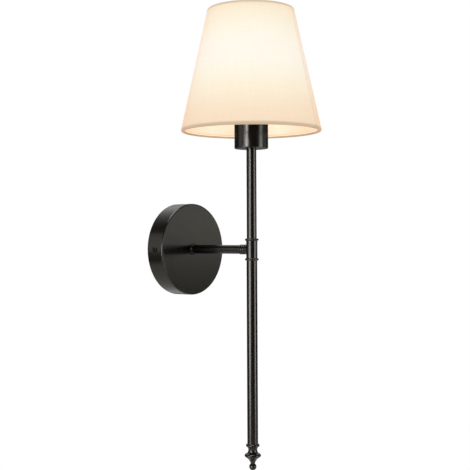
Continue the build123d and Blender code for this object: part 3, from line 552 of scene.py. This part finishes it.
class LampStage(bpy.types.Operator):
    """Floor, softboxes, surroundings and the camera"""

    bl_idname = "wall_lamp.stage"
    bl_label = "Stage"

    def execute(self, context):
        scene, stage = context.scene, context.scene.lamp_stage
        scene.view_settings.view_transform = "Standard"
        self.floor(stage)
        self.surroundings(scene, stage)
        self.lights(stage)
        self.camera(scene, stage)
        return {"FINISHED"}

    def floor(self, stage):
        """Flat disc: radius from the middle and angle round it. It fades to white towards its edge."""
        # Matt paint: pale, with a slow cloud of roller marks.
        material, tree = blank("pale_painted_floor")
        cloud_width = 60
        fade_start, fade_end = (stage.floor_radius * share for share in (0.5, 0.8))
        rows, columns = 24, 97
        place = add(tree, "TexCoord", output="Object")
        flat = add(tree, "VectorMath", {0: place, 1: (1, 1, 0)}, operation="MULTIPLY")
        radius = add(tree, "VectorMath", {0: flat}, "Value", operation="LENGTH")
        fade = {"Value": radius, "From Min": fade_start, "From Max": fade_end}
        edge = add(tree, "MapRange", fade, interpolation_type="SMOOTHSTEP")
        # The camera sees white all round, metal and glass see it behind the lamp.
        sight = {0: place, 1: line_of_sight(stage)}
        behind = add(tree, "VectorMath", sight, "Value", operation="DOT_PRODUCT")
        far = {"Value": behind, "From Min": 0.1, "From Max": 0.6}
        from_camera, mirrored = ray_kinds(tree)
        seen = add(tree, "Math", {0: mirrored, 1: add(tree, "MapRange", far)}, operation="MULTIPLY")
        seen = add(tree, "Math", {0: seen, 1: from_camera}, operation="MAXIMUM")
        seen = add(tree, "Math", {0: seen, 1: edge}, operation="MULTIPLY")
        cloud = patches(tree, mottle(tree, cloud_width), 0.0, 1.0, stage.floor, linear("#ededea"))
        paint = add(tree, "BsdfPrincipled", {"Base Color": cloud, "Roughness": 0.7})
        white = add(tree, "Emission", {"Strength": 1.0})
        add(tree, "OutputMaterial", {"Surface": add(tree, "MixShader", {0: seen, 1: paint, 2: white})})
        angle = np.linspace(0, TURN, columns)[None, :-1]
        reach = np.linspace(MM, stage.floor_radius, rows)[:, None]
        points = round_stem(reach, angle, -stage.floor_drop)
        grid_piece("floor", points, material, round_columns=True)

    def surroundings(self, scene, stage):
        """White straight behind the lamp, a ceiling and a dim room for metal and glass, and even light."""
        world = bpy.data.worlds.new("studio")
        scene.world = world
        world.use_nodes = True
        tree = world.node_tree
        tree.nodes.clear()
        facing = add(tree, "TexCoord", output="Generated")
        sight = {0: facing, 1: line_of_sight(stage)}
        behind = add(tree, "VectorMath", sight, "Value", operation="DOT_PRODUCT")
        above = add(tree, "SeparateXYZ", {0: facing}, "Z")
        # Each is a product of two steps: one round from the far side, one up from the horizon.
        backdrop = (behind, 0.93, 0.995), (above, -0.1, -0.02)
        ceiling = (behind, 0.15, 0.75), (above, 0.25, 0.6)
        room = stage.room
        for steps, strength in ((backdrop, 1.0), (ceiling, stage.ceiling)):
            round_step, up_step = (add(tree, "MapRange", dict(enumerate(step))) for step in steps)
            part = add(tree, "Math", {0: round_step, 1: up_step}, operation="MULTIPLY")
            part = add(tree, "Math", {0: part, 1: strength}, operation="MULTIPLY")
            room = add(tree, "Math", {0: room, 1: part}, operation="MAXIMUM")
        from_camera, mirrored = ray_kinds(tree)
        shown = add(tree, "Mix", {0: mirrored, 2: stage.ambient, 3: room})
        shown = add(tree, "Mix", {0: from_camera, 2: shown, 3: 1.0})
        sky = add(tree, "Background", {"Color": (1, 1, 1, 1), "Strength": shown})
        add(tree, "OutputWorld", {"Surface": sky})

    def lights(self, stage):
        """Softboxes that shine only on the gloss, and a broad fill that lights only matt surfaces."""
        cool, white = stage.daylight[:3], (1, 1, 1)
        # Power, colour, angle and lean in degrees, then distance, level, width and height in metres.
        boxes = {
            "left_box": (stage.left_power, cool, 170, 30, 1.7, -0.14, 1.1, 0.6),
            "cup_box": (stage.cup_power, cool, 189, 0, 1.7, 0.34, 0.4, 0.26),
            "right_box": (stage.right_power, cool, 287, 0, 1.7, -0.1, 0.7, 0.9),
            "side_box": (stage.side_power, white, 322, 0, 1.7, 0.1, 0.9, 0.3),
            "rim_box": (stage.rim_power, white, 138, 0, 1.7, 0.35, 0.8, 1.0),
            "over_box": (stage.over_power, white, 160, 0, 0.14, 1.5, 1.0, 1.0),
            "fill_box": (stage.fill_power, white, 218, 0, 1.9, 0.3, 1.2, 1.2),
        }
        for name, (watts, tint, angle, lean, distance, level, width, height) in boxes.items():
            lamp = bpy.data.lights.new(name, "AREA")
            lamp.shape, lamp.size, lamp.size_y, lamp.energy = "RECTANGLE", width, height, watts
            lamp.color = tint
            box = bpy.data.objects.new(name, lamp)
            bpy.context.scene.collection.objects.link(box)
            turn = radians(angle)
            box.location = (STEM_X + distance * cos(turn), STEM_Y + distance * sin(turn), level)
            tilt = np.arctan2(distance, level)
            aim = Matrix.Rotation(turn + pi / 2, 3, "Z") @ Matrix.Rotation(tilt, 3, "X")
            box.rotation_euler = (aim @ Matrix.Rotation(radians(lean), 3, "Z")).to_euler()
            box.visible_camera = False
            box.visible_diffuse = name == "fill_box"
            box.visible_glossy = name != "fill_box"

    def camera(self, scene, stage):
        """Level camera at the photograph's angle."""
        lens = bpy.data.cameras.new("camera")
        lens.sensor_width, lens.lens, lens.shift_y = 36.0, stage.lens, stage.shift
        eye = bpy.data.objects.new("camera", lens)
        scene.collection.objects.link(eye)
        eye.location, eye.rotation_euler = stage.eye, stage.aim
        scene.camera = eye


class LampMetalwork(bpy.types.Operator):
    """Wall plate, arm, tee, stems, finial and cup"""

    bl_idname = "wall_lamp.metalwork"
    bl_label = "Lacquered metalwork"

    def execute(self, context):
        give(
            lacquered_steel(context.scene.lamp_metal),
            "wall_plate", "arm_collar", "arm_tube", "arm_ferrule", "tee", "tee_upper_ring", "tee_lower_ring",
            "upper_stem", "lower_stem", "finial", "socket_cup",
        )
        return {"FINISHED"}


class LampHardware(bpy.types.Operator):
    """Screws, bracket, nuts, washers, threaded nipples and the bulb's small steel parts"""

    bl_idname = "wall_lamp.hardware"
    bl_label = "Hardware"

    def execute(self, context):
        # Black oxide: nearly black and slightly oily, with duller patches.
        oxide = plain_metal("black_oxide_steel", "#1d1d1f", "#2b2a2a", roughness=0.38, patch=2.0)
        give(oxide, "side_screws")
        # Zinc plate: cool grey with soft cloudy spangle.
        zinc = plain_metal("bright_zinc_plated_steel", "#a9adb2", "#c4c6c8", roughness=0.34, patch=3.0)
        give(
            zinc,
            "mounting_bracket", "plate_lock_washer", "plate_lock_nut", "plate_nipple", "arm_stud",
            "upper_stem_nipple", "lower_stem_nipple", "cup_lock_washer", "cup_lock_nut", "cup_nipple",
            "head_keeper_ring", "charge_port",
        )
        return {"FINISHED"}


class LampShadeCloth(bpy.types.Operator):
    """Cloth cover with rolled hems and one lapped seam, and the film inside it"""

    bl_idname = "wall_lamp.shade_cloth"
    bl_label = "Shade cloth"

    def execute(self, context):
        shade = context.scene.lamp_shade
        height = SHADE_HIGH.z - SHADE_LOW.z
        low, high = shade.bottom_diameter / 2, shade.top_diameter / 2
        slant = hypot(low - high, height)
        lean, rise = (low - high) / slant, height / slant
        mean = (low + high) / 2
        lap = shade.seam_width / mean
        along, inward, hem, inside = self.section(shade, slant)
        # Columns run once round and on over the first end, and crowd where the upper end lifts and stops.
        under, round_wall, over = 13, 265, 33
        start = np.linspace(0, lap, under)[:-1]
        body = np.linspace(lap, TURN - lap, round_wall)[:-1]
        angle = np.concatenate([start, body, np.linspace(TURN - lap, TURN + lap, over)])
        lift = shade.seam_lift * ease(angle, TURN - lap * 0.6, TURN)
        # Unevenness of a hand-covered frame: five slow and eleven quick waves round the wall, which die out
        # towards the hems.
        wave = (0.12 * np.sin(5 * angle + 0.7) + 0.08 * np.sin(11 * angle + 2.1)) * MM
        swell = (1 - hem) * np.sin(pi * np.clip(along / slant, 0, 1))
        out = lift + swell[:, None] * wave
        # On the wall each point moves straight out. Round a hem the move is mirrored along the wall, so the
        # upper end of the lap sinks into the roll in places. The section then turns about the stem.
        step_along, step_inward = np.gradient(along)[:, None], np.gradient(inward)[:, None]
        size = np.hypot(step_along, step_inward)
        up_wall = along[:, None] - out * step_inward / size
        into_wall = inward[:, None] - out * step_along / size
        level = SHADE_LOW.z + up_wall * rise - into_wall * lean
        points = round_stem(low - up_wall * lean - into_wall * rise, shade.seam_angle + angle, level)
        path = np.concatenate([[0], np.cumsum(np.hypot(np.diff(along), np.diff(inward)))])
        uv = np.stack(np.broadcast_arrays(angle * mean, path[:, None]), axis=-1)
        double = np.maximum(1 - ease(angle, lap, lap * 1.02), ease(angle, TURN - lap * 0.02, TURN))
        fields = {"hem": hem[:, None], "inside": inside[:, None], "double": double}
        fields = {name: np.broadcast_to(values, points.shape[:2]) for name, values in fields.items()}
        cloth = grid_piece("shade_cloth", points, woven_cloth(shade), uv=uv, **fields)
        wall = cloth.modifiers.new("thickness", "SOLIDIFY")
        wall.thickness, wall.offset = shade.cloth_thickness, -1
        seat(cloth, "shade", "cream_fabric", "shade_fabric")
        give(shade_film(shade), "shade_liner")
        # The shade isn't mirrored in the metal, so the softboxes show up to the top of the cup.
        for layer in (cloth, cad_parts["shade_liner"]):
            layer.visible_glossy = False
        return {"FINISHED"}

    def section(self, shade, slant):
        """Section of the cloth as distances along the wall and inward from its face.

        It is an arc round the lower hoop from inside to outside, the straight wall, and an arc round the
        upper hoop from outside to inside. Also how much painted shade each point takes from a hem, and how
        much it lies on the side of a hem that faces the bulb, where the bulb's light is painted on.
        """
        arc_rows, wall_rows = 25, 62
        roll = shade.hem_diameter / 2
        wrap = np.linspace(shade.hem_wrap, 0, arc_rows)
        arc_along, arc_inward = roll - roll * np.sin(wrap), roll - roll * np.cos(wrap)
        wall = np.linspace(roll, slant - roll, wall_rows)[1:-1]
        along = np.concatenate([arc_along, wall, slant - arc_along[::-1]])
        inward = np.concatenate([arc_inward, np.zeros_like(wall), arc_inward[::-1]])
        edge = np.minimum(along, slant - along)
        # Painted shade of the hems, on the glow and the colour: full on the roll, then a narrow fade and a
        # faint wide one up the wall.
        hem = np.maximum(1 - ease(edge, roll * 0.9, roll * 1.9), 0.1 * (1 - ease(edge, roll, roll * 6)))
        hem = np.maximum(hem, inward > roll * 0.5)
        return along, inward, hem, np.where(inward > roll, ease(edge, roll, roll * 1.5), 0)


class LampShadeFrame(bpy.types.Operator):
    """Hoops, spokes and ring of the shade, with their welds"""

    bl_idname = "wall_lamp.shade_frame"
    bl_label = "Shade frame"

    def execute(self, context):
        # Powder coat: warm white, thick and slightly pebbled.
        coat = plain_plastic(
            "white_powder_coated_wire", "#e2ddd0", "#efebe0", roughness=0.4, ior=1.5, grain=0.9, depth=0.05
        )
        give(coat, "fitter_ring", "fitter_spokes", "shade_top_hoop", "shade_bottom_hoop")
        half = context.scene.lamp_metal.bead_size / 2
        # A bead is a squashed ball with three low ripples round it, set on the wire's end.
        rows, columns = 13, 25
        depth, tallness, ripple_height = 0.8, 0.62, 0.07  # shares of the bead's half width
        ring_offset, hoop_offset = 0.3, -0.75  # outward, shares of it too
        across = np.linspace(0, pi, rows)[:, None]
        around = np.linspace(0, TURN, columns)[None, :]
        ripple = half * (1 + ripple_height * np.sin(3 * around + 1.0) * np.sin(across) ** 2)
        outward = np.sin(across) * np.cos(around) * depth * ripple
        sideways = np.sin(across) * np.sin(around) * ripple
        upward = np.cos(across) * tallness * ripple
        ring_low, ring_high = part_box("fitter_ring")
        places = {
            "ring": (middle("fitter_ring")[2] + half * ring_offset, (ring_low.z + ring_high.z) / 2),
            "hoop": (middle("shade_bottom_hoop")[2] + half * hoop_offset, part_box("shade_bottom_hoop")[1].z),
        }
        spokes = 3
        for place, (radius, level) in places.items():
            for number in range(spokes):
                angle = number * TURN / spokes - pi / 2
                x = STEM_X + (radius + outward) * cos(angle) - sideways * sin(angle)
                y = STEM_Y + (radius + outward) * sin(angle) + sideways * cos(angle)
                points = np.stack([x, y, level + upward], axis=-1)
                bead = grid_piece(f"{place}_weld_{number + 1}", points, coat)
                close_mesh(bead, half * 0.001)
                seat(bead, "shade", "white_wire")
        return {"FINISHED"}


class LampHolder(bpy.types.Operator):
    """Lampholder with the thread on its skirt, its sleeve and the ring nut"""

    bl_idname = "wall_lamp.holder"
    bl_label = "Lampholder"

    def execute(self, context):
        metal = context.scene.lamp_metal
        # Phenolic: near black, hard, with a dull moulded gloss and faint flow marks.
        phenolic = plain_plastic(
            "black_moulded_phenolic", "#121110", "#1d1b19", roughness=0.36, ior=1.6, grain=1.2, depth=0.03
        )
        give(phenolic, "shade_ring_nut")
        # Drawn brass: yellow, with streaks along the draw.
        draw = (1, 1, 0.1)
        brass = plain_metal("drawn_brass", "#b98f45", "#d0ab63", roughness=0.26, patch=4.0, stretch=draw)
        give(brass, "lampholder_sleeve")
        gap, bevel, run_in = 0.05 * MM, 0.8 * MM, 2 * MM
        rows, columns = 230, 121
        sharp_turn = radians(40)
        radius = middle("lampholder_body")[2]
        bore = middle("lampholder_sleeve")[2] + gap
        hole = middle("cup_nipple")[2] + gap
        base, top, floor = HOLDER_LOW.z, HOLDER_HIGH.z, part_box("lampholder_sleeve")[0].z - gap
        # Closed section: up the outside, over the mouth, down the bore, across the floor and out underneath.
        inner_radii = [radius - bevel, bore + bevel, bore, bore, hole, hole]
        inner_levels = [top, top, top - bevel, floor, floor, base]
        radii = np.concatenate([np.full(rows, radius), inner_radii])
        levels = np.concatenate([np.linspace(base, top - bevel, rows), inner_levels])
        angle = np.linspace(0, TURN, columns)[None, :-1]
        # Thread: a rounded wave that climbs one pitch to a turn, over the upper part of the skirt.
        climb = 0.5 - 0.5 * np.cos(TURN * (levels[:, None] / metal.skirt_pitch) - angle)
        start, stop = top - metal.skirt_length, top - bevel
        reach = ease(levels, start, start + run_in) * (1 - ease(levels, stop - bevel, stop))
        reach[rows:] = 0
        cut = metal.skirt_depth * climb * reach[:, None]
        points = round_stem(radii[:, None] - cut, angle, levels[:, None])
        body = grid_piece("lampholder_shell", points, phenolic, round_rows=True, round_columns=True)
        close_mesh(body, 0.001 * MM)
        body.data.set_sharp_from_angle(angle=sharp_turn)
        seat(body, "fixture", "black_phenolic", "lampholder_body")
        return {"FINISHED"}


class LampBulbContacts(bpy.types.Operator):
    """Screw shell, insulator and tip of the bulb, the magnet in its dock and the tabs on its cell"""

    bl_idname = "wall_lamp.bulb_contacts"
    bl_label = "Bulb contacts"

    def execute(self, context):
        # Nickel plate: warm silver and bright, with fine marks.
        nickel = plain_metal("nickel_plated_brass", "#b9b3a6", "#d0cbbf", roughness=0.22, patch=3.0)
        give(nickel, "bulb_screw_shell", "dock_magnet", "battery_tabs")
        # Black base glass: fire-polished and deep.
        glass = plain_plastic(
            "black_base_glass", "#0b0b0e", "#131317", roughness=0.1, ior=1.6, grain=2.0, depth=0.01
        )
        give(glass, "bulb_insulator")
        # Tin solder: a dull, puckered drop.
        solder = plain_metal("tin_solder", "#a8a8a6", "#c6c6c3", roughness=0.42, patch=0.9, depth=0.05)
        give(solder, "bulb_tip")
        return {"FINISHED"}


class LampBulbMouldings(bpy.types.Operator):
    """Dock, housing, button and globe of the bulb"""

    bl_idname = "wall_lamp.bulb_mouldings"
    bl_label = "Bulb mouldings"

    def execute(self, context):
        # Polycarbonate: warm white with a fine spark-eroded grain that keeps the gloss low.
        white = plain_plastic(
            "white_moulded_polycarbonate", "#e6e2d9", "#f0ede6",
            roughness=0.42, ior=1.58, grain=0.7, depth=0.03,
        )
        give(white, "bulb_dock", "head_housing")
        # Silicone: grey, soft and matt.
        rubber = plain_plastic(
            "grey_silicone", "#b9b7b1", "#c7c5bf", roughness=0.62, ior=1.41, grain=0.6, depth=0.02
        )
        give(rubber, "power_button")
        give(opal_globe(context.scene.lamp_bulb), "diffuser_globe")
        return {"FINISHED"}


class LampBulbElectronics(bpy.types.Operator):
    """Boards, chips, cell, switch and receiver inside the bulb"""

    bl_idname = "wall_lamp.bulb_electronics"
    bl_label = "Bulb electronics"

    def execute(self, context):
        give(lit_phosphor(context.scene.lamp_bulb), "led_chips")
        # Solder mask over glass cloth: green, with a faint grain from the cloth.
        green = plain_plastic(
            "green_solder_mask", "#0f3f24", "#1b5a34", roughness=0.38, ior=1.52, grain=0.8, depth=0.04
        )
        give(green, "control_board")
        # White mask on an aluminium board: flat and bright.
        white = plain_plastic(
            "white_solder_mask", "#e9e9e4", "#f5f5f1", roughness=0.48, ior=1.52, grain=1.0, depth=0.02
        )
        give(white, "led_board")
        # Heat-shrunk sleeve: blue film drawn tight, with faint puckers.
        sleeve = plain_plastic(
            "shrunk_vinyl_sleeve", "#2a5c96", "#3b73b0", roughness=0.3, ior=1.53, grain=1.6, depth=0.06
        )
        give(sleeve, "battery_cell")
        # Moulded nylon: black and slightly waxy.
        nylon = plain_plastic(
            "black_moulded_nylon", "#131314", "#1f1f20", roughness=0.45, ior=1.53, grain=0.8, depth=0.03
        )
        give(nylon, "button_switch", "remote_receiver")
        return {"FINISHED"}


OPERATORS = (
    LampStage, LampMetalwork, LampHardware, LampShadeCloth, LampShadeFrame, LampHolder, LampBulbContacts,
    LampBulbMouldings, LampBulbElectronics,
)
SETTINGS = {
    "lamp_shade": LampShadeSettings,
    "lamp_metal": LampMetalSettings,
    "lamp_bulb": LampBulbSettings,
    "lamp_stage": LampStageSettings,
}


class LampPanel(bpy.types.Panel):
    """Sidebar panel with the lamp's settings and the steps that dress it"""

    bl_idname = "VIEW3D_PT_wall_lamp"
    bl_label = "Wall Lamp"
    bl_space_type = "VIEW_3D"
    bl_region_type = "UI"
    bl_category = "Wall Lamp"

    def draw(self, context):
        for operator in OPERATORS:
            self.layout.operator(operator.bl_idname)
        for name, group in SETTINGS.items():
            box = self.layout.box()
            for setting in group.__annotations__:
                box.prop(getattr(context.scene, name), setting)


def register():
    """Register the settings, the steps and the panel."""
    for name, group in SETTINGS.items():
        bpy.utils.register_class(group)
        setattr(bpy.types.Scene, name, bpy.props.PointerProperty(type=group))
    for part in (*OPERATORS, LampPanel):
        bpy.utils.register_class(part)


def unregister():
    """Take the panel, the steps and the settings away again."""
    for part in (LampPanel, *reversed(OPERATORS)):
        bpy.utils.unregister_class(part)
    for name, group in SETTINGS.items():
        delattr(bpy.types.Scene, name)
        bpy.utils.unregister_class(group)


def main():
    """Dress the lamp step by step."""
    register()
    for operator in OPERATORS:
        group, step = operator.bl_idname.split(".")
        getattr(getattr(bpy.ops, group), step)()


if __name__ == "__main__":
    main()
